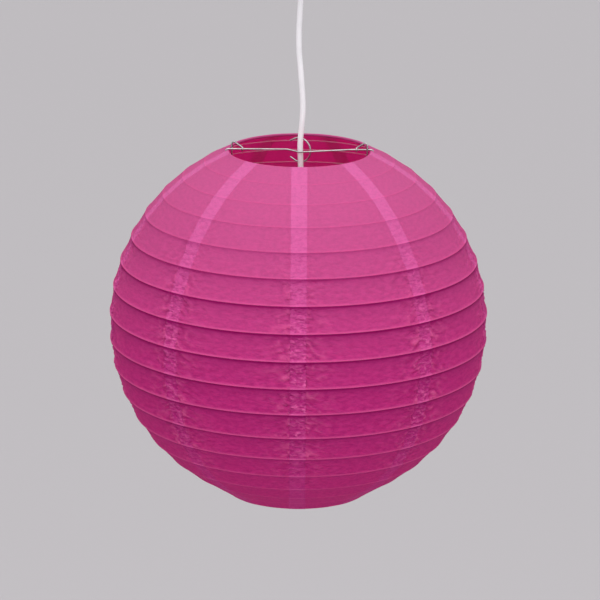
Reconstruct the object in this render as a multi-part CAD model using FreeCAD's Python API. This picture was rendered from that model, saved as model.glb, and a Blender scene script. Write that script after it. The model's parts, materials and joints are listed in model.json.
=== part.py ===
"""A round paper lantern on its hanging cord, with its ceiling rose and lampholder.

Millimetres. The origin is the middle of the ceiling face of the rose, +Z up, +X along the crossbar.
"""

import FreeCAD, Part
import math
import os

from FreeCAD import Vector

# ---- Driving dimensions ----

# Shade: wire hoops on a sphere, with a band of paper from each hoop to the next.
shade_radius = 175.0
opening_radius = 66.0
band_count = 17
lower_sag_deg = 3.0
lower_tuck = 0.014
rib_wire = 1.0
ring_wire = 1.8
paper = 0.25
glue = 0.05
band_gap = 0.3
folded_pitch = 2.0
hem_turn_deg = 205.0
hem_facets = 10

# Wire frame that carries the shade and holds it open.
frame_wire = 1.5
wire_clearance = 0.1
weld_depth = 0.1
eye_inset = 13.3
leg_inset = 3.6
hump_height = 8.0
foot_overhang = 3.5
foot_rounding = 0.4
leg_bend = 2.0
bow_start = 11.0
bow_inset = 18.0
bow_dip = 1.7
bow_bend = 8.0
bow_margin = 0.45
clip_radius = 11.4
clip_reach = 10.1
clip_wrap_deg = 62.0
clip_arm = 5.0
hook_wrap_deg = 200.0
hook_slot = 3.0

# Cord, and how far it drops from the cord grip to the crossbar.
cord_diameter = 5.2
cord_clearance = 0.1
cord_drop = 166.0
swing_limit_deg = 20.0

# Ceiling rose.
cover_radius = 50.0
cover_depth = 26.0
cover_wall = 2.0
cover_rounding = 7.0
cover_clearance = 0.2
base_thickness = 3.0
base_rim_depth = 8.0
base_rim_wall = 2.5
screw_spacing = 60.0
screw_hole = 4.5
supply_hole = 14.0
supply_hole_offset = 27.0
terminal_size = (22.0, 16.0, 10.0)
terminal_hole = 3.2
terminal_hole_pitch = 5.5
grip_diameter = 15.0
grip_length = 20.0
grip_thread = 10.0
grip_mouth_depth = 8.0
grip_mouth_spare_deg = 2.0
neck_spare = 1.0
nut_across_flats = 14.0
nut_height = 4.0
grip_screw_diameter = 3.0
grip_screw_length = 4.5

# Lampholder on the lower end of the cord.
holder_drop = 62.0
holder_wall = 2.5
cap_height = 26.0
cap_shoulder = 13.0
cap_bulge = (0.73, 0.72)
crown_margin = 1.5
skirt_height = 38.0
gland_radius = 6.5
gland_height = 9.0
gland_lip = 1.2
socket_radius = 13.3
socket_wall = 0.5
socket_air = 3.2
socket_length = 22.0
insulator_height = 9.0
contact_radius = 4.5
contact_height = 2.5
contact_rounding = 1.0
contact_air = 2.0
collar_height = 3.5
terminal_screw_radius = 2.5
terminal_screw_reach = 9.5
terminal_screw_height = 4.0

# ---- Values that follow from them ----

cord_radius = cord_diameter / 2
wire_radius = frame_wire / 2
ring_hug = ring_wire / 2 + wire_clearance + wire_radius
eye_hug = 2 * wire_radius + wire_clearance
eye_reach = opening_radius - eye_inset
leg_reach = opening_radius - leg_inset
bow_end = opening_radius - bow_inset
foot_radius = eye_hug - wire_radius + weld_depth
cord_pass = cord_radius + wire_radius + cord_clearance

cover_bottom = -cover_depth
grip_bottom = cover_bottom - grip_length
swing_pivot = grip_bottom + grip_mouth_depth
terminal_bottom = -base_thickness - terminal_size[2]
bar_z = grip_bottom - cord_drop
top_ring_z = bar_z - ring_hug
ring_latitude = math.degrees(math.acos(opening_radius / shade_radius))
shade_centre = top_ring_z - shade_radius * math.sin(math.radians(ring_latitude))
holder_radius = socket_radius + socket_wall + socket_air + holder_wall
cap_top = bar_z - holder_drop - gland_height
insulator_top = cap_top - cap_height
insulator_bottom = insulator_top - insulator_height
shell_top = insulator_bottom - collar_height

UP = Vector(0, 0, 1)
parts = {}


# ---- Helpers ----


def disc(radius, height, bottom, x=0.0, y=0.0):
    """An upright cylinder with its lower face at bottom."""
    return Part.makeCylinder(radius, height, Vector(x, y, bottom), UP)


def pipe(outer, inner, height, bottom):
    """An upright tube."""
    return disc(outer, height, bottom).cut(disc(inner, height, bottom))


def block(low, high):
    """A box between two corners."""
    size = Vector(*high) - Vector(*low)
    return Part.makeBox(size.x, size.y, size.z, Vector(*low))


def revolved(outline):
    """A solid of revolution about Z, from (radius, height) points."""
    corners = [Vector(r, 0, z) for r, z in outline]
    face = Part.Face(Part.makePolygon(corners + corners[:1]))
    return face.revolve(Vector(0, 0, 0), UP, 360)


def rounded_path(corners, bends):
    """Straight runs through the corners, joined by tangent arcs of the given radii."""
    edges = []
    start = corners[0]
    for before, corner, after, bend in zip(corners, corners[1:], corners[2:], bends):
        arriving = (corner - before).normalize()
        leaving = (after - corner).normalize()
        half_turn = arriving.getAngle(leaving) / 2
        setback = bend * math.tan(half_turn)
        enter = corner - arriving * setback
        leave = corner + leaving * setback
        inward = (leaving - arriving).normalize()
        middle = corner + inward * (bend / math.cos(half_turn) - bend)
        edges.append(Part.LineSegment(start, enter).toShape())
        edges.append(Part.Arc(enter, middle, leave).toShape())
        start = leave
    edges.append(Part.LineSegment(start, corners[-1]).toShape())
    return edges


def wire_along(edges, radius):
    """A round wire swept along joined edges."""
    path = Part.Wire(edges)
    first = path.OrderedEdges[0]
    ahead = first.tangentAt(first.FirstParameter)
    begin = first.valueAt(first.FirstParameter)
    section = Part.Wire(Part.makeCircle(radius, begin, ahead))
    solid = path.makePipeShell([section], True, False)
    return solid if solid.Volume > 0 else solid.reversed()


def hexagon(across_flats, height, bottom, bore):
    """A hexagonal nut with a plain bore."""
    corner = across_flats / math.sqrt(3)
    points = [
        Vector(corner * math.cos(math.radians(a)), corner * math.sin(math.radians(a)), bottom)
        for a in range(0, 361, 60)
    ]
    body = Part.Face(Part.makePolygon(points)).extrude(UP * height)
    return body.cut(disc(bore, height, bottom))


# ---- Shade ----


class Hoop:
    """One closed wire hoop: its place on the shade, its wire and the outward direction there."""

    def __init__(self, number):
        share = number / band_count
        sag = lower_sag_deg * math.sin(math.pi * share**4)
        tuck = lower_tuck * math.sin(math.pi * share**8)
        latitude = math.radians(ring_latitude * (1 - 2 * share) - sag)
        reach = shade_radius * (1 - tuck)
        self.is_ring = number in (0, band_count)
        self.wire = ring_wire if self.is_ring else rib_wire
        self.radius = reach * math.cos(latitude)
        self.z = shade_centre + reach * math.sin(latitude)
        self.outward = Vector(math.cos(latitude), 0, math.sin(latitude))
        self.centre = Vector(self.radius, 0, self.z)
        self.paper_line = self.centre + self.outward * (self.wire / 2 + glue)

    def solid(self):
        return Part.makeTorus(self.radius, self.wire / 2, Vector(0, 0, self.z), UP)


hoops = [Hoop(number) for number in range(band_count + 1)]


def hoop_name(number):
    if number == 0:
        return "top_ring"
    if number == band_count:
        return "bottom_ring"
    return f"rib_{number:02d}"


def fold_travel(number):
    """How far a hoop rises towards the hoop above it when the shade is folded flat."""
    return hoops[number - 1].z - hoops[number].z - folded_pitch


def paper_band(number):
    """The paper between two hoops, glued over the wire of the upper one."""
    upper, lower = hoops[number - 1], hoops[number]
    margin = rib_wire / 2 + 2 * glue
    down = (lower.paper_line - upper.paper_line).normalize()
    out = Vector(-down.z, 0, down.x)
    end_cut = band_gap if lower.is_ring else band_gap + margin
    end = lower.paper_line - down * end_cut
    inner = [upper.paper_line, end]
    outer = [upper.paper_line + upper.outward * paper, end + out * paper]
    if not upper.is_ring:
        above = hoops[number - 2].paper_line
        before = (upper.paper_line - above).normalize()
        hem = upper.paper_line - before * margin
        inner.insert(0, hem)
        outer.insert(0, hem + Vector(-before.z, 0, before.x) * paper)
    return revolved([(p.x, p.z) for p in inner + outer[::-1]])


def paper_hem(ring, turn_deg):
    """The edge of the paper, turned in round a ring. turn_deg is signed: the way it wraps."""
    start = math.degrees(math.atan2(ring.outward.z, ring.outward.x))
    inside = ring.wire / 2 + glue

    def at(distance, share):
        angle = math.radians(start + turn_deg * share)
        return ring.centre + Vector(math.cos(angle), 0, math.sin(angle)) * distance

    shares = [step / hem_facets for step in range(hem_facets + 1)]
    near = [at(inside, share) for share in shares]
    far = [at(inside + paper, share) for share in shares]
    return revolved([(p.x, p.z) for p in near + far[::-1]])


def hook_slots():
    """The two slots in the paper where the ends of the crossbar hook round the top ring."""
    half = hook_slot / 2
    reach = ring_hug + frame_wire
    low = (opening_radius - reach, -half, top_ring_z - reach)
    high = (opening_radius + reach, half, top_ring_z + reach)
    right = block(low, high)
    return right.fuse(right.mirror(Vector(0, 0, 0), Vector(1, 0, 0)))


def make_shade():
    slots = hook_slots()
    for number, hoop in enumerate(hoops):
        parts[hoop_name(number)] = hoop.solid()
    for number in range(1, band_count + 1):
        parts[f"paper_band_{number:02d}"] = paper_band(number)
    parts["paper_band_01"] = parts["paper_band_01"].cut(slots)
    parts["top_hem"] = paper_hem(hoops[0], hem_turn_deg).cut(slots)
    parts["bottom_hem"] = paper_hem(hoops[-1], -hem_turn_deg)


# ---- Wire frame ----

bow = cord_pass + bow_margin
foot_z = hoops[-1].z - ring_wire / 2 - glue - paper - band_gap - foot_radius


def bar_point(x):
    """The middle of the crossbar where it slopes back from the cord to its right end."""
    share = (bow_end - x) / bow_end
    return Vector(x, -bow * share, bar_z - bow_dip * share)


def make_crossbar():
    """A bar that passes in front of the cord and hooks round the top ring at both ends."""

    def hook(side):
        points = []
        for share in (0, 0.5, 1):
            angle = math.radians(90 - hook_wrap_deg * share)
            out = ring_hug * math.cos(angle) * side
            points.append(Vector(side * opening_radius + out, 0, top_ring_z + ring_hug * math.sin(angle)))
        return points

    left, right = hook(-1), hook(1)
    corners = [
        left[0],
        Vector(-bow_start, 0, bar_z),
        Vector(0, -bow, bar_z - bow_dip),
        Vector(bow_end, 0, bar_z),
        right[0],
    ]
    edges = [Part.Arc(*left[::-1]).toShape()]
    edges += rounded_path(corners, [bow_bend] * 3)
    edges += [Part.Arc(*right).toShape()]
    parts["crossbar"] = wire_along(edges, wire_radius)


def make_cord_clip():
    """A C of wire, welded to the back of the bar, whose two arms pass behind the cord."""
    weld = bar_point(clip_reach) + Vector(0, frame_wire - weld_depth, 0)
    turn = math.asin(cord_pass / math.hypot(weld.x, weld.y)) + math.atan2(-weld.y, weld.x)
    along = Vector(-math.cos(turn), math.sin(turn), 0)
    middle = weld + along * clip_radius

    def on_circle(angle_deg):
        angle = math.radians(angle_deg)
        return middle + along * (clip_radius * math.cos(angle)) + UP * (clip_radius * math.sin(angle))

    def arm_end(sign):
        angle = math.radians(clip_wrap_deg)
        ahead = along * math.sin(angle) - UP * (sign * math.cos(angle))
        return on_circle(sign * clip_wrap_deg) + ahead * clip_arm

    edges = [
        Part.LineSegment(arm_end(1), on_circle(clip_wrap_deg)).toShape(),
        Part.Arc(on_circle(clip_wrap_deg), on_circle(180), on_circle(-clip_wrap_deg)).toShape(),
        Part.LineSegment(on_circle(-clip_wrap_deg), arm_end(-1)).toShape(),
    ]
    parts["cord_clip"] = wire_along(edges, wire_radius)


def make_leg(side):
    """A leg: an eye on the bar, a hump over it, and a run down to the side of the foot wire."""
    y = -side * eye_hug
    corners = [
        Vector(side * eye_reach, 0, bar_z + eye_hug),
        Vector(side * leg_reach, y, bar_z + hump_height),
        Vector(side * leg_reach, y, foot_z - wire_radius),
    ]
    leg = wire_along(rounded_path(corners, [leg_bend]), wire_radius)
    eye = Part.makeTorus(eye_hug, wire_radius, Vector(side * eye_reach, 0, bar_z), Vector(1, 0, 0))
    return leg.fuse(eye)


def make_foot_wire():
    """A straight wire between the two legs, welded to both, whose ends carry the bottom ring."""
    reach = opening_radius + foot_overhang
    wire = Part.makeCylinder(foot_radius, 2 * reach, Vector(-reach, 0, foot_z), Vector(1, 0, 0))
    ends = [edge for edge in wire.Edges if edge.isClosed()]
    return wire.makeFillet(foot_rounding, ends)


def make_legs():
    parts["left_leg"] = make_leg(-1)
    parts["right_leg"] = make_leg(1)
    parts["foot_wire"] = make_foot_wire()


# ---- Cord ----


def make_cord():
    """The cord hangs straight, under the lantern's weight, from the grip to the lampholder."""
    hanging = disc(cord_radius, swing_pivot - insulator_top, insulator_top)
    round_end = Part.makeSphere(cord_radius, Vector(0, 0, swing_pivot))
    parts["cord"] = hanging.fuse(round_end).removeSplitter()
    tail_bottom = swing_pivot + cord_radius + cord_clearance
    run = swing_pivot - insulator_top
    whole = math.pi * cord_radius**2 * (run + cord_radius * 2 / 3)
    print("cord: one straight run of", round(run, 1), "volume over section times length",
          round(parts["cord"].Volume / whole, 4))
    parts["cord_tail"] = disc(cord_radius, terminal_bottom - tail_bottom, tail_bottom)


# ---- Ceiling rose ----


def make_rose_base():
    """A disc screwed to the ceiling, with a rim that the cover pushes over."""
    rim_radius = cover_radius - cover_wall - cover_clearance
    base = disc(rim_radius, base_thickness, -base_thickness)
    rim = pipe(rim_radius, rim_radius - base_rim_wall, base_rim_depth, -base_thickness - base_rim_depth)
    base = base.fuse(rim).removeSplitter()
    for side in (-1, 1):
        base = base.cut(disc(screw_hole / 2, base_thickness, -base_thickness, side * screw_spacing / 2))
    return base.cut(disc(supply_hole / 2, base_thickness, -base_thickness, y=supply_hole_offset))


def make_terminal_block():
    """An insulating block under the base. Its entries, in a row along X, run through it along Y."""
    length, width, height = terminal_size
    body = block((-length / 2, -width / 2, terminal_bottom), (length / 2, width / 2, -base_thickness))
    for step in (-1, 0, 1):
        entry = Vector(step * terminal_hole_pitch, -width, terminal_bottom + height / 2)
        body = body.cut(Part.makeCylinder(terminal_hole / 2, 2 * width, entry, Vector(0, 1, 0)))
    return body


def make_rose_cover():
    """A round cup, open to the ceiling, with the cord grip's hole in its floor."""
    height = cover_depth - cover_clearance
    cup = disc(cover_radius, height, cover_bottom)
    hollow = disc(cover_radius - cover_wall, height, cover_bottom + cover_wall)
    cup = cup.makeFillet(cover_rounding, [lowest_edge(cup)])
    hollow = hollow.makeFillet(cover_rounding - cover_wall, [lowest_edge(hollow)])
    return cup.cut(hollow).cut(disc(grip_thread / 2 + cord_clearance, cover_wall, cover_bottom))


def lowest_edge(solid):
    """The round edge of a cylinder's lower face."""
    return min((e for e in solid.Edges if e.isClosed()), key=lambda e: e.BoundBox.ZMax)


def make_cord_grip():
    """The grip under the cover: a threaded neck through the floor, and a mouth that lets the cord swing."""
    bore = cord_radius + cord_clearance
    limit = math.radians(swing_limit_deg)
    at_pivot = cord_radius / math.cos(limit) + 2 * cord_clearance
    spread = math.tan(math.radians(swing_limit_deg + grip_mouth_spare_deg))
    throat = swing_pivot + (at_pivot - bore) / spread
    mouth = at_pivot + grip_mouth_depth * spread
    neck_top = cover_bottom + cover_wall + nut_height + neck_spare
    return revolved(
        [
            (bore, neck_top),
            (grip_thread / 2, neck_top),
            (grip_thread / 2, cover_bottom),
            (grip_diameter / 2, cover_bottom),
            (grip_diameter / 2, grip_bottom),
            (mouth, grip_bottom),
            (bore, throat),
        ]
    )


def make_rose():
    nut_bottom = cover_bottom + cover_wall
    screw_z = cover_bottom - grip_screw_diameter
    screw = Part.makeCylinder(
        grip_screw_diameter / 2,
        grip_screw_length,
        Vector(0, cord_radius + cord_clearance, screw_z),
        Vector(0, 1, 0),
    )
    parts["rose_base"] = make_rose_base()
    parts["terminal_block"] = make_terminal_block()
    parts["rose_cover"] = make_rose_cover()
    parts["grip_nut"] = hexagon(nut_across_flats, nut_height, nut_bottom, grip_thread / 2)
    parts["cord_grip"] = make_cord_grip().cut(screw)
    parts["grip_screw"] = screw


# ---- Lampholder ----


def make_cap():
    """The domed top of the lampholder, over the cord's terminals."""
    shoulder = cap_top - cap_shoulder
    crown = gland_radius + crown_margin
    bottom = insulator_top

    def dome(inset):
        side = holder_radius - inset
        top = Vector(crown - inset / 2, 0, cap_top - inset)
        knee = Vector(side, 0, shoulder)
        across, up = cap_bulge
        bulge = Vector(top.x + (side - top.x) * across, 0, shoulder + (top.z - shoulder) * up)
        return top, bulge, knee

    hole = cord_radius + cord_clearance
    outer, inner = dome(0), dome(holder_wall)
    foot_out = Vector(holder_radius, 0, bottom)
    foot_in = Vector(holder_radius - holder_wall, 0, bottom)
    hole_top = Vector(hole, 0, cap_top)
    hole_low = Vector(hole, 0, cap_top - holder_wall)
    outline = [
        Part.LineSegment(hole_top, outer[0]).toShape(),
        Part.Arc(*outer).toShape(),
        Part.LineSegment(outer[2], foot_out).toShape(),
        Part.LineSegment(foot_out, foot_in).toShape(),
        Part.LineSegment(foot_in, inner[2]).toShape(),
        Part.Arc(*inner[::-1]).toShape(),
        Part.LineSegment(inner[0], hole_low).toShape(),
        Part.LineSegment(hole_low, hole_top).toShape(),
    ]
    return Part.Face(Part.Wire(outline)).revolve(Vector(0, 0, 0), UP, 360)


def make_lampholder():
    inner_radius = holder_radius - holder_wall
    skirt_bottom = insulator_top - skirt_height
    gland = revolved(
        [
            (cord_radius, cap_top),
            (gland_radius, cap_top),
            (gland_radius, cap_top + gland_height / 3),
            (cord_radius + gland_lip, cap_top + gland_height),
            (cord_radius, cap_top + gland_height),
        ]
    )
    parts["holder_gland"] = gland
    parts["holder_cap"] = make_cap()
    parts["holder_skirt"] = pipe(holder_radius, inner_radius, skirt_height, skirt_bottom)
    shell_radius = socket_radius + socket_wall
    collar_inside = contact_radius + contact_air
    plug = disc(inner_radius, insulator_height, insulator_bottom)
    collar = pipe(shell_radius, collar_inside, collar_height, shell_top)
    parts["insulator"] = plug.fuse(collar).removeSplitter()
    parts["screw_shell"] = pipe(shell_radius, socket_radius, socket_length, shell_top - socket_length)
    contact = disc(contact_radius, contact_height, insulator_bottom - contact_height)
    parts["centre_contact"] = contact.makeFillet(contact_rounding, [lowest_edge(contact)])
    parts["terminal_screws"] = Part.makeCompound(
        [
            disc(terminal_screw_radius, terminal_screw_height, insulator_top, side * terminal_screw_reach)
            for side in (-1, 1)
        ]
    )


make_shade()
make_crossbar()
make_cord_clip()
make_legs()
make_cord()
make_rose()
make_lampholder()

os.makedirs("parts", exist_ok=True)
for name, shape in parts.items():
    shape.exportStep(f"parts/{name}.step")
    print(name, len(shape.Solids), round(shape.Volume, 1), shape.isValid())
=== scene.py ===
"""The looks of a round paper lantern on its cord: light, cord, paper, wire and mouldings."""

import json
import math

import bpy
import numpy as np
from mathutils import Matrix, Vector


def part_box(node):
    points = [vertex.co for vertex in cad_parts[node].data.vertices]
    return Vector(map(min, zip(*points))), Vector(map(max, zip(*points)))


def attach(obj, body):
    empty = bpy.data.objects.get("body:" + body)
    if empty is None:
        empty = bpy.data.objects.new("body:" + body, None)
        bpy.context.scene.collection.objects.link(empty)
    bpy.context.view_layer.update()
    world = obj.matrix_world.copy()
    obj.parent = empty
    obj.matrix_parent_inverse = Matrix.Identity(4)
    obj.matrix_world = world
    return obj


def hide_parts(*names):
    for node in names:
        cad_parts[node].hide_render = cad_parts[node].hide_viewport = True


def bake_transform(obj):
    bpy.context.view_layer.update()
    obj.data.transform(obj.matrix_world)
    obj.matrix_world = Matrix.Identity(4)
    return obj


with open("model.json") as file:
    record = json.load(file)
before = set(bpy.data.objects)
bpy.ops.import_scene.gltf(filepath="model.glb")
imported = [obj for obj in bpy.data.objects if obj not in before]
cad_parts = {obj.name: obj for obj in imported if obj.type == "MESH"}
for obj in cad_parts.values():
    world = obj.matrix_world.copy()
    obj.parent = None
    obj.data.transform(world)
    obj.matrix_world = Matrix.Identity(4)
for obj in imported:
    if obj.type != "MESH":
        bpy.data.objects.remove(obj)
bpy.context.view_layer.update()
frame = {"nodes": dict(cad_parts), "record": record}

MM = 0.001
BAND_COUNT = sum(name.startswith("paper_band") for name in frame["nodes"])


# ---- Places read from the frame ----


def middle(node):
    low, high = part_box(node)
    return (Vector(low) + Vector(high)) / 2


def hoop_node(number):
    if number == 0:
        return "top_ring"
    if number == BAND_COUNT:
        return "bottom_ring"
    return f"rib_{number:02d}"


SHADE_CENTRE = (middle("top_ring") + middle("bottom_ring")) / 2
GLUE = 0.05 * MM


class Hoop:
    """One wire hoop in the plane of radius and height."""

    def __init__(self, number):
        low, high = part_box(hoop_node(number))
        self.wire = (high[2] - low[2]) / 2
        self.radius = (high[0] - low[0]) / 2 - self.wire
        self.height = (high[2] + low[2]) / 2
        self.outward = math.atan2(self.height - SHADE_CENTRE.z, self.radius)
        reach = self.wire + GLUE
        self.line = np.array(
            [
                self.radius + reach * math.cos(self.outward),
                self.height + reach * math.sin(self.outward),
            ]
        )


HOOPS = [Hoop(number) for number in range(BAND_COUNT + 1)]
SHADE_RADIUS = max(hoop.radius for hoop in HOOPS)


# ---- Camera and light ----

CAMERA_ELEVATION = math.radians(15.7)
CAMERA_ROLL = math.radians(0.4)
CAMERA_DISTANCE = 3.8325
AIM_UP = 18.8 * MM
AIM_RIGHT = 1.4 * MM
SENSOR_MM = 36
LENS_MM = 246.5
FARTHEST = 100
SKY = (0.985, 0.985, 1.0, 1)
FLOOR_SIZE = 40
FLOOR_DROP = 1.4


def set_camera():
    """A long lens, looking a little down on the lantern, which hangs a touch off true."""
    camera = bpy.data.objects.new("camera", bpy.data.cameras.new("camera"))
    bpy.context.scene.collection.objects.link(camera)
    camera.data.sensor_width = SENSOR_MM
    camera.data.lens = LENS_MM
    camera.data.clip_end = FARTHEST
    back = Vector((0, -math.cos(CAMERA_ELEVATION), math.sin(CAMERA_ELEVATION)))
    right = Vector((1, 0, 0))
    up = back.cross(right)
    aim = SHADE_CENTRE + up * AIM_UP + right * AIM_RIGHT
    turn = Matrix((right, up, back)).transposed() @ Matrix.Rotation(CAMERA_ROLL, 3, "Z")
    camera.matrix_world = Matrix.Translation(aim + back * CAMERA_DISTANCE) @ turn.to_4x4()
    bpy.context.scene.camera = camera


def area_light(name, place, target, size, power):
    light = bpy.data.objects.new(name, bpy.data.lights.new(name, "AREA"))
    bpy.context.scene.collection.objects.link(light)
    light.data.shape = "DISK"
    light.data.size = size
    light.data.energy = power
    facing = (target - place).to_track_quat("-Z", "Y")
    light.matrix_world = Matrix.Translation(place) @ facing.to_matrix().to_4x4()


def set_light():
    scene = bpy.context.scene
    scene.view_settings.view_transform = "Standard"
    world = bpy.data.worlds.new("studio")
    scene.world = world
    world.use_nodes = True
    background = world.node_tree.nodes["Background"]
    background.inputs["Color"].default_value = SKY
    background.inputs["Strength"].default_value = 1.0
    centre = SHADE_CENTRE
    area_light("overhead", centre + Vector((0, -0.6, 2.4)), centre, size=1.8, power=25)
    area_light("front", centre + Vector((0.2, -3.0, 0.7)), centre, size=3.4, power=23)


# ---- Shader maths ----


class Value:
    """A socket of a finish. Arithmetic on it adds Math nodes."""

    def __init__(self, finish, socket):
        self.finish = finish
        self.socket = socket

    def maths(self, operation, *others):
        inputs = {number: other for number, other in enumerate((self, *others))}
        return self.finish.node("ShaderNodeMath", {"operation": operation}, inputs)

    def __add__(self, other):
        return self.maths("ADD", other)

    def __sub__(self, other):
        return self.maths("SUBTRACT", other)

    def __mul__(self, other):
        return self.maths("MULTIPLY", other)

    def __rsub__(self, other):
        return self.finish.node("ShaderNodeMath", {"operation": "SUBTRACT"}, {0: other, 1: self})

    __radd__ = __add__


class Finish:
    """A material with one Principled shader, built from Python expressions."""

    def __init__(self, name, colour, roughness, metallic=0.0, **sockets):
        self.material = bpy.data.materials.new(name)
        self.material.use_nodes = True
        self.tree = self.material.node_tree
        self.shader = self.tree.nodes["Principled BSDF"]
        self.output = self.tree.nodes["Material Output"]
        self.set(Base_Color=colour, Roughness=roughness, Metallic=metallic, **sockets)

    def plug(self, socket, value):
        if isinstance(value, Value):
            self.tree.links.new(value.socket, socket)
        elif isinstance(value, tuple):
            socket.default_value = value if len(value) == len(socket.default_value) else (*value, 1)
        else:
            socket.default_value = value

    def set(self, **sockets):
        for name, value in sockets.items():
            self.plug(self.shader.inputs[name.replace("_", " ")], value)

    def node(self, kind, settings, inputs, output=0):
        made = self.tree.nodes.new(kind)
        for name, value in settings.items():
            setattr(made, name, value)
        for key, value in inputs.items():
            self.plug(made.inputs[key], value)
        return Value(self, made.outputs[output])

    def object_place(self):
        return self.node("ShaderNodeTexCoord", {}, {}, "Object")

    def stretched(self, place, scale):
        return self.node("ShaderNodeMapping", {}, {"Vector": place, "Scale": scale})

    def noise(self, place, scale, detail=3.0, roughness=0.55):
        """Cloudy noise about 0.5."""
        inputs = {"Vector": place, "Scale": scale, "Detail": detail, "Roughness": roughness}
        return self.node("ShaderNodeTexNoise", {}, inputs, "Fac")

    def between(self, low, high, share):
        """A colour between two colours."""
        settings = {"data_type": "RGBA"}
        made = self.node("ShaderNodeMix", settings, {"Factor": share}, 2)
        node = made.socket.node
        self.plug(node.inputs[6], low)
        self.plug(node.inputs[7], high)
        return made

    def step(self, value, start, end):
        """0 below start, 1 above end, smooth between."""
        inputs = {"Value": value, "From Min": start, "From Max": end}
        return self.node("ShaderNodeMapRange", {"interpolation_type": "SMOOTHSTEP"}, inputs)

    def bump(self, height, strength, distance):
        inputs = {"Height": height, "Strength": strength, "Distance": distance}
        self.set(Normal=self.node("ShaderNodeBump", {}, inputs))


PALE_DYE, DEEP_DYE = (0.77, 0.060, 0.38), (0.53, 0.030, 0.27)
# Overlap colours: painted light near the top, painted shade lower down.
OVERLAP_PAINTED_LIGHT_DYE, OVERLAP_PAINTED_SHADE_DYE = (0.78, 0.07, 0.38), (0.44, 0.008, 0.16)
# Colour of the painted sheen on the upper bands.
PAINTED_SHEEN_DYE = (0.78, 0.28, 0.54)
# Colour of the painted highlights.
PAINTED_HIGHLIGHT_DYE = (0.94, 0.17, 0.50)
# Colour of the painted shade.
SHADED_DYE = (0.32, 0.005, 0.13)
GLOW_DYE = (0.84, 0.075, 0.42)


def paper_finish():
    """Thin dyed paper, with a painted sheen paling the upper bands, painted highlights and painted
    shade at crumples and hoops, and less light through overlaps and where shade is painted.
    """
    paper = Finish("fuchsia paper", (0.6, 0.03, 0.26), 0.65, IOR=1.16)
    place = paper.node("ShaderNodeUVMap", {"uv_map": "sheet"}, {})
    overlap, tucked, worn, stiff = (
        paper.node("ShaderNodeAttribute", {"attribute_name": mask}, {}, "Fac")
        for mask in ("overlap", "tucked", "worn", "stiff")
    )
    clouds = paper.noise(paper.stretched(place, (1.0, 2.4, 1.0)), 140, 3)
    fibres = paper.noise(paper.stretched(place, (1.0, 2.6, 1.0)), 420, 4, 0.7)
    grain = paper.noise(place, 1500, 2)
    crumple = paper.noise(paper.stretched(place, (1.0, 2.9, 1.0)), 115, 2, 0.55)
    # Crumple crests and valleys shape the bump and also carry painted highlight and painted shade.
    crest = (1 - paper.step((crumple - 0.53).maths("ABSOLUTE"), 0.0, 0.08)) * stiff
    valley = (1 - paper.step((crumple - 0.41).maths("ABSOLUTE"), 0.0, 0.08)) * stiff
    tone = clouds * 0.55 + fibres * 0.45
    down = paper.node("ShaderNodeSeparateXYZ", {}, {"Vector": place}, 1)
    # Painted sheen: the upper part of the sheet is painted paler and whiter, as if lit from above.
    painted_sheen = 1 - paper.step(down, 0.06, 0.34)
    dyed = paper.between(DEEP_DYE, PALE_DYE, paper.step(tone, 0.38, 0.62))
    # Overlaps are painted paler near the top and darker lower down, as painted light and shade.
    overlap_painted_light = paper.between(OVERLAP_PAINTED_LIGHT_DYE, OVERLAP_PAINTED_SHADE_DYE, paper.step(down, 0.1, 0.38))
    overlap_with_painted_light = paper.between(dyed, overlap_painted_light, overlap * 0.3)
    with_painted_sheen = paper.between(overlap_with_painted_light, PAINTED_SHEEN_DYE, painted_sheen * 0.5)
    # Painted highlights on crumple crests and along the hoops.
    with_painted_highlights = paper.between(with_painted_sheen, PAINTED_HIGHLIGHT_DYE, worn + crest * 0.32)
    # Painted shade below the hoops and in crumple valleys.
    paper.set(Base_Color=paper.between(with_painted_highlights, SHADED_DYE, tucked + valley * 0.3))
    paper.bump(fibres * 0.35 + grain * 0.15 + crest - valley, 0.5, 0.4 * MM)
    glow = paper.node("ShaderNodeBsdfTranslucent", {}, {"Color": GLOW_DYE})
    # Less light through overlaps and where shade is painted.
    through = (0.55 - overlap * 0.18) * (1 - tucked * 0.5)
    mixed = paper.node("ShaderNodeMixShader", {}, {0: through})
    paper.tree.links.new(paper.shader.outputs[0], mixed.socket.node.inputs[1])
    paper.tree.links.new(glow.socket, mixed.socket.node.inputs[2])
    paper.tree.links.new(mixed.socket, paper.output.inputs["Surface"])
    return paper.material


def wire_finish(name, colour, roughness):
    """Drawn wire: long fine scratches and a few duller patches."""
    wire = Finish(name, colour, roughness, 1.0)
    place = wire.object_place()
    patches = wire.noise(place, 120, 2)
    scratches = wire.noise(place, 2600, 3, 0.7)
    wire.set(Roughness=roughness + patches * 0.16 - 0.08 + scratches * 0.08)
    dull = tuple(part * 0.72 for part in colour)
    wire.set(Base_Color=wire.between(dull, colour, wire.step(patches, 0.35, 0.6)))
    wire.bump(scratches, 0.2, 0.05 * MM)
    return wire.material


MOTTLE = 0.03


def plastic_finish(name, colour, roughness):
    """Moulded plastic with a faint flow pattern and a fine spark-eroded skin."""
    plastic = Finish(name, colour, roughness)
    place = plastic.object_place()
    flow = plastic.noise(place, 40, 3)
    skin = plastic.noise(place, 2400, 2)
    shaded = tuple(part * (1 - 2 * MOTTLE) for part in colour)
    plastic.set(Base_Color=plastic.between(shaded, colour, plastic.step(flow, 0.3, 0.6)))
    plastic.set(Roughness=roughness + flow * 0.1 - 0.05)
    plastic.bump(skin, 0.12, 0.08 * MM)
    return plastic.material


# ---- Cord ----

CORD_RADIUS = 2.6 * MM


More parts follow.
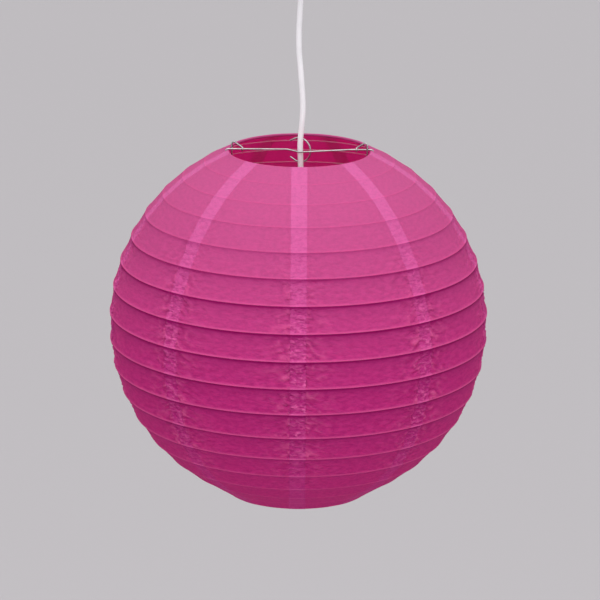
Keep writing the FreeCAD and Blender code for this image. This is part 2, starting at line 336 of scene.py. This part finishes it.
def make_cord():
    """The flex, with the lazy waves it keeps from its coil, woven through the clip."""
    bar = middle("crossbar").z
    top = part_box("cord")[1][2] - CORD_RADIUS
    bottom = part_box("cord")[0][2]
    waves = [
        (0.0, 164),
        (0.2, 152),
        (0.0, 138),
        (-1.2, 118),
        (-1.3, 96),
        (0.5, 78),
        (2.1, 58),
        (3.1, 40),
        (1.9, 23),
        (0.3, 8),
        (1.2, -14),
        (1.6, -38),
    ]
    between = [(aside * MM, 0, bar + above * MM) for aside, above in waves]
    points = [(0, 0, top), *between, (0, 0, bottom)]
    curve = bpy.data.curves.new("flex", "CURVE")
    curve.dimensions = "3D"
    spline = curve.splines.new("NURBS")
    spline.points.add(len(points) - 1)
    for control, point in zip(spline.points, points):
        control.co = (*point, 1)
    spline.order_u = 3
    spline.use_endpoint_u = True
    spline.resolution_u = 16
    curve.bevel_depth = CORD_RADIUS
    curve.bevel_resolution = 6
    curve.use_fill_caps = True
    flex = bpy.data.objects.new("flex", curve)
    bpy.context.scene.collection.objects.link(flex)
    flex.data.materials.append(CORD)
    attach(flex, "hanging_cord")
    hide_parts("cord")


# ---- Paper ----

GORES = 9
GORE_DRIFT = math.radians(2.2)
OVERLAP = 13.5 * MM
EDGE = 0.5 * MM
PAPER = 0.2 * MM
BAND_SHIFT = 0.031
HEM_TURN_DEG = 205
HEM_STEPS = 8
HEM_SPACING = 0.5 * MM
HEM_SHADE = 0.8
WELD = 0.01 * MM
INSIDE_STEPS, OUTSIDE_STEPS, CROWDING = 7, 23, 1.3
DOWN_STEP = 0.85 * MM
SLACK_MIDDLE_DEG, SLACK_SPREAD_DEG = -3, 37
HELD_EDGE = 2.0 * MM
CREASE_REACH = 20 * MM
CREASE_LEAN = math.radians(32)
CREASE_LENGTH, CREASE_WIDTH = 11 * MM, 4.5 * MM
HOLLOW_DEPTH = 0.8 * MM
OVERLAP_RISE = 0.12 * MM
FOLD_HEIGHT = 0.95 * MM
SOFT_HEIGHT = 0.3 * MM


def lattice_noise(x, y, seed):
    """Smooth noise from -1 to 1 on a square lattice of spacing 1."""
    def corner(i, j):
        mixed = np.sin(i * 127.1 + j * 311.7 + seed * 74.7) * 43758.5453
        return (mixed - np.floor(mixed)) * 2 - 1

    i, j = np.floor(x), np.floor(y)
    u, v = x - i, y - j
    u, v = u * u * (3 - 2 * u), v * v * (3 - 2 * v)
    low = corner(i, j) * (1 - u) + corner(i + 1, j) * u
    high = corner(i, j + 1) * (1 - u) + corner(i + 1, j + 1) * u
    return low * (1 - v) + high * v


def crease(x, y, seed):
    """Sharp-crested folds from 0 to 1."""
    fine = lattice_noise(2.1 * x, 2.1 * y, seed + 1)
    folded = 1 - np.abs(lattice_noise(x, y, seed) + 0.5 * fine) * 1.6
    return np.clip(folded, 0, 1) ** 2


def across_gore(width):
    """Distances from the middle of an overlap to halfway to the next, closest at its edges."""
    inside = np.linspace(0, OVERLAP / 2, INSIDE_STEPS)
    share = np.linspace(0, 1, OUTSIDE_STEPS)[1:] ** CROWDING
    outside = OVERLAP / 2 + EDGE + (width - OVERLAP / 2 - EDGE) * np.insert(share, 0, 0)
    return np.concatenate([inside, outside])


def down_band(length):
    """Distances down a band, close together near the two hoops."""
    near = np.array([0, 0.35, 0.8, 1.4, 2.2, 3.2]) * MM
    steps = max(4, round((length - 2 * near[-1]) / DOWN_STEP))
    between = np.linspace(near[-1], length - near[-1], steps + 1)[1:-1]
    return np.concatenate([near, between, (length - near)[::-1]])


def hem_line(hoop, turn_deg):
    """Points round a ring from its outward side, over a signed angle, where the paper turns in."""
    angles = hoop.outward + np.radians(np.linspace(0, turn_deg, HEM_STEPS + 1)[1:])
    reach = hoop.wire + GLUE
    radii = hoop.radius + reach * np.cos(angles)
    heights = hoop.height + reach * np.sin(angles)
    return np.stack([radii, heights], axis=-1)


def band_grid(rows):
    """Tables of the distance from the nearest overlap's middle and of the turn about Z.

    The gores are glued by eye, and those at the front came out a little wider.
    """
    arc, turn = [], []
    for radius in rows:
        right = across_gore(math.pi / GORES * radius)
        gore = np.concatenate([-right[:0:-1], right])[:-1]
        starts = -math.pi / 2 + np.arange(GORES) * 2 * math.pi / GORES
        arc.append(np.append(np.tile(gore, GORES), gore[0]))
        turns = (starts[:, None] + gore[None, :] / radius).ravel()
        turns += GORE_DRIFT * np.sin(turns + math.pi / 2)
        turn.append(np.append(turns, turns[0] + 2 * math.pi))
    return np.array(arc), np.array(turn)


def creased(number, arc, along, s, length, latitude):
    """How far the paper stands off the line between two hoops, and the masks of its finish, painted
    shade and painted highlights among them.
    """
    share = s / length
    half_gore = np.abs(arc).max(axis=1, keepdims=True)
    from_edge = np.abs(arc) - OVERLAP / 2
    overlap = np.clip(1 - from_edge / EDGE, 0, 1)
    beside = np.exp(-np.clip(from_edge, 0, None) / CREASE_REACH)
    inside_gore = 1 - (np.abs(arc) / half_gore) ** 6
    held = np.clip(s / HELD_EDGE, 0, 1) * np.clip((length - s) / HELD_EDGE, 0, 1)
    slack = 0.04 + 0.96 * math.exp(-(((latitude - SLACK_MIDDLE_DEG) / SLACK_SPREAD_DEG) ** 4))
    hollow = 1.4 * np.sin(math.pi * share) + 0.6 * (1 - share) ** 2 * (1 - np.exp(-s / (0.9 * MM)))
    ridge = np.exp(-(((length - s) / (1.3 * MM)) ** 2)) + np.exp(-((s / (0.5 * MM)) ** 2))
    side = np.sign(arc)
    down = s + number * BAND_SHIFT
    cos, sin = math.cos(CREASE_LEAN), math.sin(CREASE_LEAN)
    p = (along * cos + side * down * sin) / CREASE_LENGTH
    q = (down * cos - side * along * sin) / CREASE_WIDTH
    diagonal = 1.5 * crease(p, q, 3) - 1.1 * crease(p + 40.3, q * 0.8 + 17.7, 5)
    bent = down + 2.4 * MM * lattice_noise(along / (11 * MM), down / (9 * MM), 31)
    level = crease(along / (8 * MM), bent / (2.9 * MM), 11)
    level = level - 0.8 * crease(along / (7 * MM), bent / (3.3 * MM), 13)
    soft = lattice_noise(along / (24 * MM), down / (10 * MM), 23)
    folds = (diagonal * beside * (1 - overlap) + level * overlap) * held * slack * inside_gore
    lift = (
        -HOLLOW_DEPTH * slack * hollow
        + (0.12 + 0.28 * slack) * MM * ridge
        + OVERLAP_RISE * overlap
        + FOLD_HEIGHT * folds
        + SOFT_HEIGHT * soft * held * slack * inside_gore
    )
    # shade: painted shade under each hoop, fading down the band; edge: a painted highlight line
    # just above the next hoop.
    shade = 0.3 * np.exp(-(((s - 1.2 * MM) / (1.2 * MM)) ** 2)) + 0.85 * np.exp(-s / (7 * MM))
    edge = np.exp(-(((length - s - 0.5 * MM) / (0.9 * MM)) ** 2))
    # Painted shade below each hoop and in fold hollows.
    tucked = np.clip(slack * shade + 0.3 * np.clip(-folds, 0, 1), 0, 1)
    # Painted highlight on fold crests and along a line just above the next hoop.
    worn = np.clip(0.9 * np.clip(folds, 0, 1) ** 1.5 + (0.35 + 0.45 * slack) * edge, 0, 1)
    stiff = (0.22 + 0.78 * overlap + 0.5 * beside**2 * (1 - overlap)) * held * (0.35 + 0.65 * slack)
    return lift, {"overlap": overlap, "tucked": tucked, "worn": worn, "stiff": stiff}


def add_sheet(name, places, flat_places, masks):
    """A closed ring of paper from tables of points, their flat places and the finish's masks."""
    rows, columns = places.shape[:2]
    bpy.ops.object.select_all(action="DESELECT")
    bpy.ops.mesh.primitive_grid_add(x_subdivisions=columns - 1, y_subdivisions=rows - 1, size=1)
    sheet = bpy.context.object
    sheet.name = sheet.data.name = name
    mesh = sheet.data
    mesh.vertices.foreach_set("co", places.reshape(-1, 3).ravel())
    if mesh.uv_layers:
        mesh.uv_layers.remove(mesh.uv_layers[0])
    layer = mesh.uv_layers.new(name="sheet")
    corners = np.empty(len(mesh.loops), dtype=np.int32)
    mesh.loops.foreach_get("vertex_index", corners)
    layer.data.foreach_set("uv", flat_places.reshape(-1, 2)[corners].ravel())
    for mask, values in masks.items():
        field = mesh.attributes.new(mask, "FLOAT", "POINT")
        field.data.foreach_set("value", values.ravel().astype(np.float32))
    mesh.update()
    bpy.ops.object.mode_set(mode="EDIT")
    bpy.ops.mesh.select_all(action="SELECT")
    bpy.ops.mesh.remove_doubles(threshold=WELD)
    bpy.ops.object.mode_set(mode="OBJECT")
    mesh.shade_smooth()
    return sheet


def make_band(number):
    """The paper from one hoop to the next, creased beside the overlaps of the gores."""
    upper, lower = HOOPS[number - 1], HOOPS[number]
    length = float(np.linalg.norm(lower.line - upper.line))
    down = (lower.line - upper.line) / length
    out = np.array([-down[1], down[0]])
    s = down_band(length)
    line = upper.line + down * s[:, None]
    arc, turn = band_grid(line[:, 0])
    across = np.repeat(s[:, None], arc.shape[1], axis=1)
    latitude = math.degrees((upper.outward + lower.outward) / 2)
    lift, masks = creased(number, arc, turn * SHADE_RADIUS, across, length, latitude)
    profile = line[:, None, :] + out * lift[..., None]
    edge = None
    if number == 1:
        edge = hem_line(upper, HEM_TURN_DEG)[::-1]
    if number == BAND_COUNT:
        edge = hem_line(lower, -HEM_TURN_DEG)
    if edge is not None:
        hem_arc, hem_turn = band_grid(edge[:, 0])
        hem = np.repeat(edge[:, None, :], arc.shape[1], axis=1)
        steps = HEM_SPACING * np.arange(1, len(edge) + 1)
        if number == 1:
            parts = ((hem, profile), (hem_turn, turn), (hem_arc, arc), (-steps[::-1], s))
        else:
            parts = ((profile, hem), (turn, hem_turn), (arc, hem_arc), (s, length + steps))
        profile, turn, arc, s = (np.concatenate(pair) for pair in parts)
        for mask, values in masks.items():
            turned = np.zeros_like(hem_arc)
            # The turned-in hem gets painted shade, growing round the turn.
            if mask == "tucked":
                turned += np.linspace(0, HEM_SHADE, len(edge))[:, None]
            joined = [turned[::-1], values] if number == 1 else [values, turned]
            masks[mask] = np.concatenate(joined)
    r, z = profile[..., 0], profile[..., 1]
    places = np.stack([r * np.cos(turn), r * np.sin(turn), z], axis=-1)
    down_sheet = np.repeat((s + number * BAND_SHIFT)[:, None], turn.shape[1], axis=1)
    flat_places = np.stack([turn * SHADE_RADIUS, down_sheet], axis=-1)
    sheet = add_sheet(f"paper_{number:02d}", places, flat_places, masks)
    bpy.ops.object.mode_set(mode="EDIT")
    bpy.ops.mesh.select_all(action="SELECT")
    bpy.ops.mesh.flip_normals()
    bpy.ops.object.mode_set(mode="OBJECT")
    solidify = sheet.modifiers.new("paper", "SOLIDIFY")
    solidify.thickness = PAPER
    solidify.offset = 1
    bpy.ops.object.modifier_apply(modifier="paper")
    sheet.data.materials.append(PAPER_FINISH)
    nodes = [f"paper_band_{number:02d}"]
    nodes += ["top_hem"] * (number == 1) + ["bottom_hem"] * (number == BAND_COUNT)
    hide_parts(*nodes)
    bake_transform(sheet)


# ---- Making it all ----

set_camera()
set_light()
CORD = plastic_finish("white flex", (0.84, 0.84, 0.86), 0.38)
make_cord()
PAPER_FINISH = paper_finish()
for band in range(1, BAND_COUNT + 1):
    make_band(band)

finishes = {
    # Hoop wire: a pale colour tinted pink as a painted reflection of the paper around it.
    "hoop_wire": plastic_finish("pale wire with painted pink reflection", (0.95, 0.60, 0.76), 0.4),
    "frame_wire": wire_finish("bright steel wire", (0.46, 0.45, 0.45), 0.33),
    "cord": CORD,
    "rose_cover": plastic_finish("rose white", (0.78, 0.78, 0.77), 0.22),
    "rose_fittings": plastic_finish("nylon white", (0.70, 0.70, 0.68), 0.42),
    "lampholder": plastic_finish("lampholder white", (0.76, 0.76, 0.75), 0.25),
    "insulator": plastic_finish("cream insulator", (0.62, 0.57, 0.47), 0.5),
    "contact_brass": wire_finish("stamped brass", (0.78, 0.58, 0.27), 0.3),
}
for row in frame["record"]["subparts"]:
    if row["material_slot"] in finishes:
        node = frame["nodes"][row["node"]]
        node.data.materials.clear()
        node.data.materials.append(finishes[row["material_slot"]])

bpy.ops.object.select_all(action="DESELECT")
bpy.ops.mesh.primitive_plane_add(size=FLOOR_SIZE, location=(0, 0, SHADE_CENTRE.z - FLOOR_DROP))
floor = bpy.context.object
floor.name = "floor"
floor.data.materials.append(Finish("pale floor", (0.50, 0.478, 0.492), 0.9).material)
